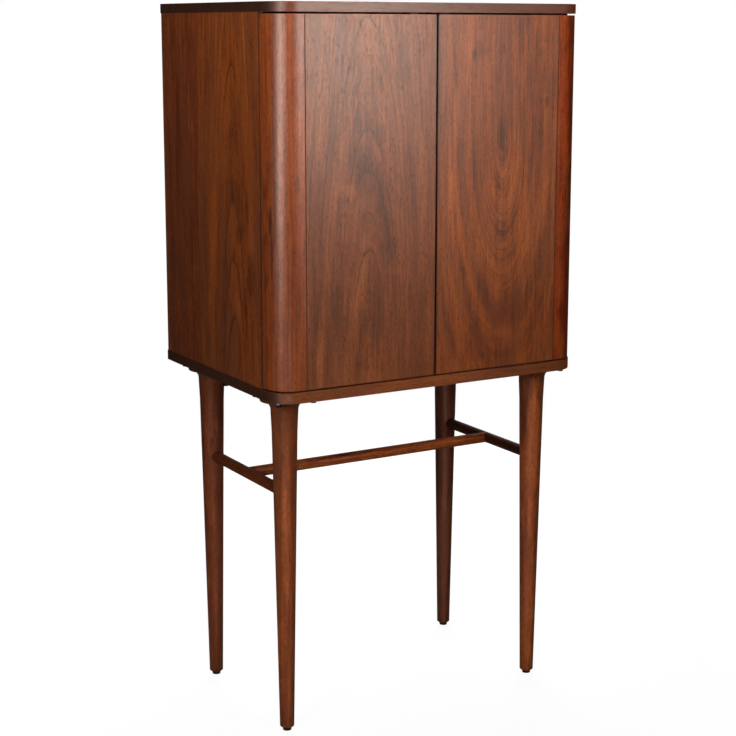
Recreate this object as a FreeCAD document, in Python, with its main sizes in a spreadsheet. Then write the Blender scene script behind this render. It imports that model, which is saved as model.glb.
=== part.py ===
import FreeCAD, Part
import math
import os
import re

import Sketcher
from FreeCAD import Placement, Rotation, Vector

# A bar cabinet on four turned legs. Two doors wrap round the front corners and turn on pivot
# hinges; a leaf folds out of the half-depth shelf inside. Millimetres, +X to the right, +Z up,
# the front faces -Y, and the origin is on the floor under the middle of the boards.

SIZES = {
    # boards and carcass
    "height": 1350, "width": 661, "depth": 485, "top_thick": 18, "bottom_thick": 20,
    "under_height": 647, "overhang": 1.5, "board_arris": 0.8,
    "side_thick": 20, "side_arris": 0.8, "back_thick": 8, "back_inset": 4, "back_rebate": 10,
    # doors
    "door_thick": 20, "door_radius": 46, "door_arris": 0.8, "post_front": 59, "post_side": 58,
    "side_gap": 2.5, "door_gap": 3, "centre_gap": 3.4, "post_end_round": 2, "seam_round": 0.9,
    # pivot hinges
    "pin_edge": 3.5, "pin_end": 4, "pin_dia": 4, "pin_play": 0.05, "pivot_thick": 2.5,
    "pivot_width": 12, "pivot_long": 44, "pivot_rim": 1.2, "pivot_boss_dia": 5.8,
    "eye_wide": 9, "eye_long": 24, "top_play": 0.3,
    # legs
    "leg_side_inset": 52.5, "leg_front_inset": 78, "leg_rear_inset": 91, "leg_top_dia": 49.6,
    "leg_foot_dia": 27, "neck_flare": 1.6, "neck_long": 60, "flange_dia": 90,
    "flange_thick": 6, "flange_lip": 1.2, "rim_round": 0.8, "foot_chamfer": 5,
    "foot_rise": 4.5, "glide_dia": 16, "glide_thick": 4, "glide_nail": 5, "glide_nail_long": 18,
    # leg plates and their bolts
    "plate_margin": 11, "plate_thick": 3, "plate_corner": 8, "bolt_side": 34.5, "bolt_clear": 8,
    "bolt_dia": 6, "bolt_head_dia": 11, "bolt_head": 5.5, "bolt_key": 5, "bolt_key_deep": 3,
    "bolt_long": 16,
    "stud_dia": 10, "stud_down": 40, "stud_up": 12,
    # stretchers
    "stretcher_dia": 21.4, "stretcher_height": 463, "socket_seat": 8, "tenon_dia": 12,
    "tenon_long": 8,
    # joinery
    "dowel_dia": 8, "dowel_long": 30, "dowel_in_board": 10, "dowel_past_bolt": 12,
    "shelf_dowel_front": 40,
    "side_bolt_dia": 6, "side_bolt_long": 50, "side_bolt_head_dia": 11, "side_bolt_head": 8,
    "screw_dia": 3.5, "screw_head_dia": 7, "screw_head": 2, "screw_long": 18, "screw_inset": 45,
    # shelf, leaf and ledgers
    "shelf_height": 1010, "shelf_thick": 18, "shelf_depth": 200,
    "leaf_rear_gap": 19.8, "leaf_thick": 18, "leaf_clear": 2, "ledger_wide": 14, "ledger_high": 24,
    "flap_wide": 50, "flap_long": 32, "flap_thick": 1.6, "flap_inset": 90, "knuckle_dia": 7,
    "knuckle_play": 0.2, "hinge_pin_dia": 3, "hinge_pin_play": 0.05, "flap_screw_dia": 3,
    "flap_screw_head_dia": 5.6, "flap_screw_long": 12, "flap_screw_spread": 32,
    "flap_screw_row": 21,
    # touch latches
    "latch_wide": 16, "latch_high": 18, "latch_long": 50, "latch_from_centre": 34,
    "latch_clear": 8, "plunger_dia": 8, "plunger_play": 0.05, "plunger_travel": 2,
    "plunger_in": 26, "strike_thick": 1.5, "strike_wide": 18, "strike_high": 22,
    "strike_edge": 1, "strike_play": 0.3,
    # stemware rails
    "rail_pitch": 94, "rail_wide": 64, "rail_flange": 7, "rail_web": 14, "rail_drop": 23,
    "rail_long": 186,
    # bottle grid
    "cell": 96, "slat_thick": 9, "slat_high": 90, "slat_overrun": 12, "slat_play": 0.2,
    # door racks
    "rack_centre": 30, "rack_seam": 14, "rack_deep": 62, "rack_height": 40, "rack_floor": 12,
    "cheek_thick": 12, "cheek_high": 96, "cheek_round": 14, "rack_rod_dia": 7,
    "rack_rod_height": 72, "rack_rod_inset": 10, "rack_rod_seat": 7,
}

CELL_COLUMNS = 4
CELL_ROWS = 2
RAILS = 4
BACK_SCREWS_A_SIDE = 4

# Places that several pieces share, each worked out from the sizes above.
PLACES = {
    "front_y": "-depth / 2",
    "back_y": "depth / 2",
    "side_x": "width / 2 - overhang",
    "side_in": "side_x - side_thick",
    "door_y": "front_y + overhang",
    "door_in": "door_y + door_thick",
    "floor_z": "under_height + bottom_thick",
    "ceiling_z": "height - top_thick",
    "door_low": "floor_z + door_gap",
    "door_high": "ceiling_z - door_gap",
    "panel_y": "door_y + post_side + side_gap",
    "back_front": "back_y - back_inset - back_thick",
    "seam_x": "side_x - post_front",
    "pin_x": "side_x - pin_edge",
    "pin_y": "door_y + post_side - pin_end",
    "leg_x": "side_x - leg_side_inset",
    "leg_front": "front_y + leg_front_inset",
    "leg_rear": "back_y - leg_rear_inset",
    "leg_middle": "(leg_front + leg_rear) / 2",
    "plate_z": "under_height - plate_thick",
    "flange_z": "plate_z - flange_thick",
    "foot_z": "glide_thick + foot_rise",
    "neck_z": "flange_z - neck_long",
    "leg_taper": "(leg_top_dia - leg_foot_dia) / 2 / (flange_z - foot_z)",
    "neck_radius": "leg_foot_dia / 2 + leg_taper * (neck_z - foot_z)",
    "bolt_ring": "(flange_dia + bolt_head_dia) / 2 + bolt_clear",
    "bolt_front": "sqrt(bolt_ring * bolt_ring - bolt_side * bolt_side)",
    "dowel_step": "bolt_front + (bolt_dia + dowel_dia) / 2 + dowel_past_bolt",
    "dowel_y": "leg_front + dowel_step",
    "last_dowel_y": "leg_rear + dowel_step",
    "shelf_y": "back_front - shelf_depth",
    "shelf_low": "shelf_height - shelf_thick",
    "leaf_start": "shelf_y + knuckle_play",
    "leaf_depth": "back_front - leaf_rear_gap - leaf_start",
    "side_middle": "side_x - side_thick / 2",
    "flap_x": "side_in - flap_inset",
    "strike_y": "door_in + strike_thick",
    "plunger_y": "strike_y + strike_play",
    "latch_y": "strike_y + latch_clear",
    "latch_z": "ceiling_z - latch_high / 2",
    "rack_far": "seam_x - rack_seam",
    "rack_near": "rack_centre",
    "rack_low": "floor_z + rack_height",
    "rack_y": "door_in + rack_deep",
    "rod_y": "rack_y - rack_rod_inset",
    "rod_z": "rack_low + rack_rod_height",
    "pitch": "cell + slat_thick",
    "board_radius": "door_radius + overhang",
}

doc = FreeCAD.newDocument("bar_cabinet")
sheet = doc.addObject("Spreadsheet::Sheet", "Sizes")
for row, (alias, number) in enumerate(SIZES.items(), start=1):
    sheet.set("A%d" % row, alias)
    sheet.set("B%d" % row, str(number))
    sheet.setAlias("B%d" % row, alias)
doc.recompute()

subparts = []
AXES = {"X": Rotation(Vector(0, 1, 0), 90), "Y": Rotation(Vector(1, 0, 0), -90), "Z": Rotation()}


# ---------------------------------------------------------------- ways of making a piece
def bound(formula):
    """A formula over sizes and places, written out as an expression on the sheet."""
    def word(match):
        name = match.group(0)
        if name in PLACES:
            return "(" + bound(PLACES[name]) + ")"
        return "Sizes." + name if name in SIZES else name
    return re.sub(r"[a-z][a-z_]+", word, str(formula))


def bind(thing, **formulas):
    for name, formula in formulas.items():
        thing.setExpression(name, bound(formula))


def place(thing, x="0", y="0", z="0"):
    for axis, formula in (("x", x), ("y", y), ("z", z)):
        thing.setExpression("Placement.Base." + axis, bound(formula))
    return thing


def subpart(thing, label):
    """Marks an object as one finished piece and gives it the name of its file."""
    thing.Label = label
    subparts.append(thing)
    return thing


def block(name, x, y, z):
    """A rectangular piece between two corners, with a low and a high formula on each axis."""
    solid = doc.addObject("Part::Box", name)
    for size, (low, high) in zip(("Length", "Width", "Height"), (x, y, z)):
        solid.setExpression(size, bound("(%s) - (%s)" % (high, low)))
    return place(solid, x[0], y[0], z[0])


def rod(name, axis, radius, low, high, across):
    """A cylinder along one axis, from low to high; across gives its two other coordinates."""
    solid = doc.addObject("Part::Cylinder", name)
    solid.Placement = Placement(Vector(), AXES[axis])
    bind(solid, Radius=radius, Height="(%s) - (%s)" % (high, low))
    spots = {"X": (low, *across), "Y": (across[0], low, across[1]), "Z": (*across, low)}
    return place(solid, *spots[axis])


def cone(name, axis, radius_low, radius_high, low, high, across):
    """As rod, with a radius at each end."""
    solid = doc.addObject("Part::Cone", name)
    solid.Placement = Placement(Vector(), AXES[axis])
    bind(solid, Radius1=radius_low, Radius2=radius_high, Height="(%s) - (%s)" % (high, low))
    spots = {"X": (low, *across), "Y": (across[0], low, across[1]), "Z": (*across, low)}
    return place(solid, *spots[axis])


def group(name, members):
    """Separate solids that share one node."""
    bundle = doc.addObject("Part::Compound", name)
    bundle.Links = members
    return bundle


def cut(name, base, *tools):
    result = doc.addObject("Part::Cut", name)
    result.Base = base
    result.Tool = tools[0] if len(tools) == 1 else group(name + "_tools", list(tools))
    return result


def fuse(name, *members):
    result = doc.addObject("Part::MultiFuse", name)
    result.Shapes = list(members)
    result.Refine = True
    return result


def mirror(name, source):
    """The right-hand twin of a left-hand piece."""
    twin = doc.addObject("Part::Mirroring", name)
    twin.Source = source
    twin.Normal = Vector(1, 0, 0)
    return twin


def sided(side, low, high):
    """The range from low to high on the right, or its mirror image on the left."""
    return (low, high) if side > 0 else ("-(%s)" % high, "-(%s)" % low)


def outline(body, name, role, points):
    """A closed sketch of straight lines; each corner's two coordinates are bound to formulas."""
    sketch = body.newObject("Sketcher::SketchObject", name)
    plane = next(item for item in body.Origin.OriginFeatures if item.Role == role)
    sketch.AttachmentSupport = [(plane, "")]
    sketch.MapMode = "FlatFace"
    count = len(points)
    turn = 2 * math.pi / count
    ring = [Vector(math.cos(turn * i), math.sin(turn * i), 0) for i in range(count)]
    for i in range(count):
        sketch.addGeometry(Part.LineSegment(ring[i], ring[(i + 1) % count]), False)
    for i in range(count):
        sketch.addConstraint(Sketcher.Constraint("Coincident", i, 2, (i + 1) % count, 1))
    for i, corner in enumerate(points):
        for kind, formula in zip(("DistanceX", "DistanceY"), corner):
            index = sketch.addConstraint(Sketcher.Constraint(kind, -1, 1, i, 1, 1.0))
            sketch.setExpression("Constraints[%d]" % index, bound(formula))
    return sketch


def rectangle(x, y):
    return [(x[0], y[0]), (x[1], y[0]), (x[1], y[1]), (x[0], y[1])]


def prism(name, points, low, high):
    """A body padded upwards from a plan outline; the body itself stands at the low height."""
    body = doc.addObject("PartDesign::Body", name)
    sketch = outline(body, name + "_plan", "XY_Plane", points)
    pad = body.newObject("PartDesign::Pad", name + "_pad")
    pad.Profile = sketch
    pad.setExpression("Length", bound("(%s) - (%s)" % (high, low)))
    sketch.Visibility = False
    place(body, z=low)
    doc.recompute()
    return body


def round_edges(body, name, radius, chosen, kind="PartDesign::Fillet"):
    """Rounds the edges of the body's last feature that the test named chosen accepts."""
    base = body.Tip
    edges = base.Shape.Edges
    names = ["Edge%d" % (i + 1) for i, edge in enumerate(edges) if chosen(edge)]
    if not names:
        raise RuntimeError("no edge to round on " + name)
    feature = body.newObject(kind, name)
    feature.Base = (base, names)
    feature.setExpression("Radius" if kind.endswith("Fillet") else "Size", bound(radius))
    body.Tip = feature
    doc.recompute()
    return feature


def at(value, other):
    return abs(value - other) < 0.01


def upright(edge):
    box = edge.BoundBox
    return box.ZLength > box.XLength + box.YLength


def in_end_face(edge, whole):
    """True for an edge that lies flat in the top or the bottom of a whole body's box."""
    box = edge.BoundBox
    return at(box.ZLength, 0) and (at(box.ZMin, whole.ZMin) or at(box.ZMax, whole.ZMax))


# ---------------------------------------------------------------- top and bottom boards
# Solid walnut boards with two rounded front corners. Dowels, bolts, studs and the pivot plates
# are let into them further down.
def board(name, low, high):
    body = prism(name, rectangle(("-width / 2", "width / 2"), ("front_y", "back_y")), low, high)
    whole = body.Tip.Shape.BoundBox
    round_edges(body, name + "_corners", "board_radius",
                lambda edge: upright(edge) and at(edge.BoundBox.YMax, whole.YMin))
    round_edges(body, name + "_arris", "board_arris", lambda edge: in_end_face(edge, whole))
    return body


top_blank = board("top_blank", "ceiling_z", "height")
bottom_blank = board("bottom_blank", "under_height", "floor_z")


# ---------------------------------------------------------------- side panels and back
# The sides stand on edge between the two boards. A rebate along the rear inner edge takes the
# back panel.
def side_blank():
    x_out, x_in, x_rebate = "-side_x", "-side_in", "-side_in - back_rebate"
    plan = [(x_out, "panel_y"), (x_in, "panel_y"), (x_in, "back_front"),
            (x_rebate, "back_front"), (x_rebate, "back_y"), (x_out, "back_y")]
    body = prism("side_blank", plan, "floor_z", "ceiling_z")
    whole = body.Tip.Shape.BoundBox
    round_edges(body, "side_blank_arris", "side_arris",
                lambda edge: upright(edge) and at(edge.BoundBox.YMax, whole.YMin))
    return body


left_side_blank = side_blank()
back_blank = block("back_blank", ("-side_in - back_rebate", "side_in + back_rebate"),
                   ("back_front", "back_front + back_thick"), ("floor_z", "ceiling_z"))


def back_screws():
    """Countersunk screws through the back panel into the side panels."""
    screws = []
    step = "(ceiling_z - floor_z - 2 * screw_inset) / %d" % (BACK_SCREWS_A_SIDE - 1)
    outer = "back_front + back_thick"
    for side, sign in (("left", "-"), ("right", "")):
        x = sign + "(side_in + back_rebate / 2)"
        for i in range(BACK_SCREWS_A_SIDE):
            z = "floor_z + screw_inset + %s * %d" % (step, i)
            name = "back_screw_%s_%d" % (side, i + 1)
            head = cone(name + "_head", "Y", "screw_dia / 2", "screw_head_dia / 2",
                        outer + " - screw_head", outer, (x, z))
            shank = rod(name + "_shank", "Y", "screw_dia / 2", outer + " - screw_long",
                        outer + " - screw_head", (x, z))
            screws.append(fuse(name, head, shank))
    return subpart(group("back_screws", screws), "back_panel_screws")


back_screw_set = back_screws()
subpart(cut("back_cut", back_blank, back_screw_set), "back_panel")


# ---------------------------------------------------------------- dowels
# Beech dowels join the sides to the boards and the middle shelf to the sides.
def dowels():
    upright_dowels, cross_dowels = [], []
    reach = "(dowel_long - dowel_in_board)"
    rows = ("dowel_y", "leg_middle", "last_dowel_y")
    for sign in ("-", ""):
        x = sign + "side_middle"
        for i, y in enumerate(rows):
            for level, low in (("low", "floor_z - dowel_in_board"),
                               ("high", "ceiling_z - " + reach)):
                if level == "low" and i == 1:
                    continue
                name = "dowel_%s%d%s" % (level, i, "l" if sign else "r")
                upright_dowels.append(rod(name, "Z", "dowel_dia / 2", low,
                                          low + " + dowel_long", (x, y)))
        for i, y in enumerate(("shelf_y + shelf_dowel_front", "last_dowel_y")):
            seat = "side_in + dowel_in_board"
            span = sided(-1 if sign else 1, seat + " - dowel_long", seat)
            name = "dowel_shelf%d%s" % (i, "l" if sign else "r")
            cross_dowels.append(rod(name, "X", "dowel_dia / 2", span[0], span[1],
                                    (y, "shelf_low + shelf_thick / 2")))
    return subpart(group("dowels", upright_dowels + cross_dowels), "carcass_dowels")


dowel_set = dowels()


# ---------------------------------------------------------------- legs
# Each leg is turned: a straight taper, a chamfered foot, a neck that swells a little and a cove
# that flares to a flange.
def leg(name, x, y, towards):
    body = doc.addObject("PartDesign::Body", name + "_blank")
    profile = [("0", "glide_thick"), ("leg_foot_dia / 2 - foot_chamfer", "glide_thick"),
               ("leg_foot_dia / 2", "foot_z"), ("neck_radius", "neck_z"),
               ("leg_top_dia / 2 + neck_flare", "flange_z"), ("flange_dia / 2", "flange_z"),
               ("flange_dia / 2", "plate_z"), ("0", "plate_z")]
    sketch = outline(body, name + "_profile", "XZ_Plane", profile)
    turning = body.newObject("PartDesign::Revolution", name + "_turning")
    turning.Profile = sketch
    turning.ReferenceAxis = (sketch, ["V_Axis"])
    turning.Angle = 360
    doc.recompute()
    under = sheet.get("under_height") - sheet.get("plate_thick") - sheet.get("flange_thick")
    neck = sheet.get("leg_top_dia") / 2 + sheet.get("neck_flare")
    rim = sheet.get("flange_dia") / 2

    def ring(radius):
        """Picks the turning's circle of that radius in the flange's lower face."""
        return lambda edge: (at(edge.BoundBox.ZLength, 0) and at(edge.BoundBox.ZMin, under)
                             and at(edge.BoundBox.XMax, radius))
    round_edges(body, name + "_cove", "(flange_dia - leg_top_dia) / 2 - neck_flare - flange_lip",
                ring(neck))
    round_edges(body, name + "_rim", "rim_round", ring(rim))
    place(body, x, y)
    seat = (y + " + socket_seat", y + " + leg_top_dia")
    if towards < 0:
        seat = (y + " - leg_top_dia", y + " - socket_seat")
    socket = rod(name + "_socket", "Y", "stretcher_dia / 2", seat[0], seat[1],
                 (x, "stretcher_height"))
    stud = rod(name + "_stud_hole", "Z", "stud_dia / 2", "plate_z - stud_down", "plate_z", (x, y))
    nail = rod(name + "_nail_hole", "Z", "glide_nail / 2", "glide_thick",
               "glide_thick + glide_nail_long", (x, y))
    return subpart(cut(name + "_cut", body, socket, stud, nail), name)


CORNERS = [("front_left", "-leg_x", "leg_front", 1), ("front_right", "leg_x", "leg_front", 1),
           ("rear_left", "-leg_x", "leg_rear", -1), ("rear_right", "leg_x", "leg_rear", -1)]
for corner, corner_x, corner_y, inwards in CORNERS:
    leg("leg_" + corner, corner_x, corner_y, inwards)


# ---------------------------------------------------------------- leg plates and fasteners
# A steel plate over each leg, four socket-head bolts up into the board, and a hanger stud
# from the leg through the plate. Nylon glides are nailed under the feet.
def leg_hardware():
    plates, bolts, studs, glides = [], [], [], []
    for corner, x, y, _ in CORNERS:
        sides = [x + sign + "(bolt_side + plate_margin)" for sign in (" - ", " + ")]
        ends = [y + sign + "(bolt_front + plate_margin)" for sign in (" - ", " + ")]
        body = prism("plate_" + corner, rectangle(sides, ends), "plate_z", "under_height")
        round_edges(body, "plate_corners_" + corner, "plate_corner", upright)
        studs.append(rod("stud_" + corner, "Z", "stud_dia / 2", "plate_z - stud_down",
                         "under_height + stud_up", (x, y)))
        near_bolts = []
        for i, (along, across) in enumerate(((-1, -1), (1, -1), (-1, 1), (1, 1))):
            name = "bolt_%s_%d" % (corner, i + 1)
            spot = (x + " + bolt_side * %d" % along, y + " + bolt_front * %d" % across)
            shank = rod(name + "_shank", "Z", "bolt_dia / 2", "plate_z",
                        "plate_z + bolt_long", spot)
            head = rod(name + "_head", "Z", "bolt_head_dia / 2", "plate_z - bolt_head",
                       "plate_z", spot)
            key = doc.addObject("Part::Prism", name + "_key")
            key.Polygon = 6
            bind(key, Circumradius="bolt_key / sqrt(3)", Height="bolt_key_deep")
            place(key, spot[0], spot[1], "plate_z - bolt_head")
            near_bolts.append(cut(name, fuse(name + "_blank", shank, head), key))
        bolts += near_bolts
        plates.append(cut("plate_cut_" + corner, body, studs[-1], *near_bolts))
        pad = rod("glide_pad_" + corner, "Z", "glide_dia / 2", "0", "glide_thick", (x, y))
        nail = rod("glide_nail_" + corner, "Z", "glide_nail / 2", "glide_thick",
                   "glide_thick + glide_nail_long", (x, y))
        glides.append(fuse("glide_" + corner, pad, nail))
    subpart(group("plates", plates), "leg_mounting_plates")
    subpart(group("glides", glides), "foot_glides")
    return (subpart(group("bolts", bolts), "leg_plate_bolts"),
            subpart(group("studs", studs), "leg_hanger_studs"))


bolt_set, stud_set = leg_hardware()


def side_bolts():
    """One bolt a side, up through the bottom board into the middle of the side panel."""
    bolts = []
    for sign in ("-", ""):
        spot = (sign + "side_middle", "leg_middle")
        name = "side_bolt_" + ("left" if sign else "right")
        head = rod(name + "_head", "Z", "side_bolt_head_dia / 2", "under_height - side_bolt_head",
                   "under_height", spot)
        shank = rod(name + "_shank", "Z", "side_bolt_dia / 2", "under_height",
                    "under_height + side_bolt_long", spot)
        bolts.append(fuse(name, head, shank))
    return subpart(group("side_bolts", bolts), "side_panel_bolts")


side_bolt_set = side_bolts()


# ---------------------------------------------------------------- stretchers
# Round rails: one on each side from leg to leg, and a long one tenoned between their middles,
# with its shoulders scribed to their round faces.
def stretchers():
    radius = "stretcher_dia / 2"
    sides = []
    for side, x in (("left", "-leg_x"), ("right", "leg_x")):
        blank = rod(side + "_stretcher_blank", "Y", radius, "leg_front + socket_seat",
                    "leg_rear - socket_seat", (x, "stretcher_height"))
        sides.append(blank)
    rail = rod("long_rail", "X", radius, "-leg_x", "leg_x", ("leg_middle", "stretcher_height"))
    tenon = rod("long_tenons", "X", "tenon_dia / 2", "-leg_x + " + radius + " - tenon_long",
                "leg_x - " + radius + " + tenon_long", ("leg_middle", "stretcher_height"))
    scribed = cut("long_rail_scribed", rail, *sides)
    subpart(fuse("long_stretcher_fuse", scribed, tenon), "long_stretcher")
    for side, blank in zip(("left", "right"), sides):
        subpart(cut(side + "_stretcher_cut", blank, tenon), side + "_side_stretcher")


stretchers()


# ---------------------------------------------------------------- doors
# A flat veneered panel glued edge to edge to a curved corner post, which wraps round to the
# side. The post's plan is an angle with a rounded outside and a rounded inside, and small
# rounds along the glue line leave a fine groove in the front.
def corner_post():
    plan = [("-side_x", "door_y"), ("-seam_x", "door_y"), ("-seam_x", "door_in"),
            ("-side_x + door_thick", "door_in"), ("-side_x + door_thick", "door_y + post_side"),
            ("-side_x", "door_y + post_side")]
    body = prism("post_blank", plan, "door_low", "door_high")
    whole = body.Tip.Shape.BoundBox

    thick = sheet.get("door_thick")

    def corner(x, y):
        return lambda edge: (upright(edge) and at(edge.BoundBox.XMin, x)
                             and at(edge.BoundBox.YMin, y))
    round_edges(body, "post_outer_round", "door_radius", corner(whole.XMin, whole.YMin))
    round_edges(body, "post_inner_round", "door_radius - door_thick",
                corner(whole.XMin + thick, whole.YMin + thick))
    round_edges(body, "post_rear_round", "post_end_round", corner(whole.XMin, whole.YMax))
    round_edges(body, "post_seam_round", "seam_round", corner(whole.XMax, whole.YMin))
    return body


def door_panel():
    plan = rectangle(("-seam_x", "-centre_gap / 2"), ("door_y", "door_in"))
    body = prism("door_panel_blank", plan, "door_low", "door_high")
    whole = body.Tip.Shape.BoundBox
    round_edges(body, "door_panel_arris", "door_arris",
                lambda edge: upright(edge) and at(edge.BoundBox.XMin, whole.XMax))
    round_edges(body, "door_panel_seam_round", "seam_round",
                lambda edge: upright(edge) and at(edge.BoundBox.XMin, whole.XMin)
                and at(edge.BoundBox.YMin, whole.YMin))
    return body


def pivot_leaf(level, low, high):
    """The hinge leaf let into the end of a post: a plate with a round eye for the pin."""
    spot = ("-pin_x", "pin_y")
    plate = block("pivot_leaf_%s_plate" % level, ("-pin_x", "-pin_x + eye_wide"),
                  ("pin_y - eye_long", "pin_y + pin_end / 2"), (low, high))
    eye = rod("pivot_leaf_%s_eye" % level, "Z", "pivot_boss_dia / 2", low, high, spot)
    blank = fuse("pivot_leaf_%s_blank" % level, plate, eye)
    hole = rod("pivot_leaf_%s_hole" % level, "Z", "pin_dia / 2 + pin_play", low, high, spot)
    return blank, cut("pivot_leaf_" + level, blank, hole)


low_leaf_blank, low_leaf = pivot_leaf("low", "door_low", "door_low + pivot_thick")
high_leaf_blank, high_leaf = pivot_leaf("high", "door_high - pivot_thick", "door_high")
left_post = cut("left_post", corner_post(), low_leaf_blank, high_leaf_blank)
left_panel = door_panel()
left_leaves = group("left_leaves", [low_leaf, high_leaf])
subpart(left_panel, "left_door_panel")
subpart(left_post, "left_corner_post")
subpart(left_leaves, "left_pivot_leaves")
subpart(mirror("right_panel", left_panel), "right_door_panel")
subpart(mirror("right_post", left_post), "right_corner_post")
subpart(mirror("right_leaves", left_leaves), "right_pivot_leaves")


# ---------------------------------------------------------------- pivot plates
# Brass plates let flush into the boards. Each carries a boss that spans the gap to the door
# and a pin that turns in the door's leaf; the lower boss carries the door.
def pivot_plate(level, plate, boss, pin):
    spot = ("-pin_x", "pin_y")
    edge = "(pin_dia / 2 + pivot_rim)"
    flat = block("pivot_plate_%s_flat" % level, ("-pin_x - " + edge, "-pin_x + pivot_width"),
                 ("pin_y - " + edge, "pin_y + pivot_long"), plate)
    return flat, fuse("pivot_plate_" + level, flat,
                      rod("pivot_boss_" + level, "Z", "pivot_boss_dia / 2", boss[0], boss[1], spot),
                      rod("pivot_pin_" + level, "Z", "pin_dia / 2", pin[0], pin[1], spot))


low_recess, low_plate = pivot_plate(
    "low", ("floor_z - pivot_thick", "floor_z"), ("floor_z", "door_low"),
    ("floor_z", "door_low + pivot_thick"))
high_recess, high_plate = pivot_plate(
    "high", ("ceiling_z", "ceiling_z + pivot_thick"), ("door_high + top_play", "ceiling_z"),
    ("door_high - pivot_thick", "ceiling_z"))
left_plates = group("left_plates", [low_plate, high_plate])
subpart(left_plates, "left_pivot_plates")
subpart(mirror("right_plates", left_plates), "right_pivot_plates")


# ---------------------------------------------------------------- touch latches
# A latch body hangs under the top board behind each door's free edge. Its plunger meets a
# steel strike plate on the door and travels inwards when the door is pressed.
def latch():
    middle = "-latch_from_centre"
    half = "latch_wide / 2"
    casing = block("latch_casing", (middle + " - " + half, middle + " + " + half),
                   ("latch_y", "latch_y + latch_long"), ("ceiling_z - latch_high", "ceiling_z"))
    bore = rod("latch_bore", "Y", "plunger_dia / 2 + plunger_play", "latch_y",
               "latch_y + plunger_in + plunger_travel + strike_play", (middle, "latch_z"))
    plunger = rod("latch_plunger", "Y", "plunger_dia / 2", "plunger_y",
                  "latch_y + plunger_in", (middle, "latch_z"))
    strike = block("latch_strike", (middle + " - strike_wide / 2", middle + " + strike_wide / 2"),
                   ("door_in", "strike_y"),
                   ("door_high - strike_edge - strike_high", "door_high - strike_edge"))
    body = cut("latch_body", casing, bore)
    for piece, label in ((body, "latch_body"), (plunger, "latch_plunger"),
                         (strike, "strike_plate")):
        subpart(piece, "left_" + label)
        subpart(mirror("right_" + piece.Name, piece), "right_" + label)


latch()


# ---------------------------------------------------------------- middle shelf and leaf
# The shelf fills the rear half of the cabinet. The leaf lies folded back on it, and turns
# over half a turn about the shelf's front top edge until it lies flush in front.
HINGE_LINE = ("shelf_y", "shelf_height")
KNUCKLES = 3
leaf_reach = "(side_in - leaf_clear)"
shelf_blank = block("shelf_blank", ("-side_in", "side_in"), ("shelf_y", "back_front"),
                    ("shelf_low", "shelf_height"))
leaf_blank = block("leaf_blank", ("-" + leaf_reach, leaf_reach),
                   ("leaf_start", "leaf_start + leaf_depth"),
                   ("shelf_height", "shelf_height + leaf_thick"))


def flap_screws(name, x, downwards):
    """Two countersunk screws through one flap, down into the shelf or up into the leaf."""
    slim, wide = "flap_screw_dia / 2", "flap_screw_head_dia / 2"
    under, over = "shelf_height - flap_%s", "shelf_height + flap_%s"
    screws = []
    for i in (-1, 1):
        spot = (x + " + flap_screw_spread / 2 * %d" % i, "shelf_y + flap_screw_row")
        label = "%s_screw_%s" % (name, "left" if i < 0 else "right")
        if downwards:
            shank = rod(label + "_shank", "Z", slim, under % "screw_long", "shelf_height", spot)
            head = cone(label + "_head", "Z", slim, wide, under % "thick", "shelf_height", spot)
        else:
            shank = rod(label + "_shank", "Z", slim, "shelf_height", over % "screw_long", spot)
            head = cone(label + "_head", "Z", wide, slim, "shelf_height", over % "thick", spot)
        screws.append(fuse(label, shank, head))
    return screws


def flap(name, start, levels, own):
    """One flap of a hinge: a plate with its own knuckles, relieved round the other's."""
    plate = block(name + "_plate", (start, start + " + flap_wide"),
                  ("shelf_y", "shelf_y + flap_long"), levels)
    edges = [start + " + flap_wide * %d / %d" % (i, KNUCKLES) for i in range(KNUCKLES + 1)]
    half = "knuckle_play / 2"
    rolled, gaps = [], []
    for i in range(KNUCKLES):
        if i in own:
            rolled.append(rod("%s_knuckle_%d" % (name, i), "X", "knuckle_dia / 2",
                              edges[i] + " + " + half, edges[i + 1] + " - " + half, HINGE_LINE))
        else:
            gaps.append(rod("%s_gap_%d" % (name, i), "X", "knuckle_dia / 2 + knuckle_play",
                            edges[i] + " - " + half, edges[i + 1] + " + " + half, HINGE_LINE))
    return plate, fuse(name + "_blank", cut(name + "_relieved", plate, *gaps), *rolled)


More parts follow.
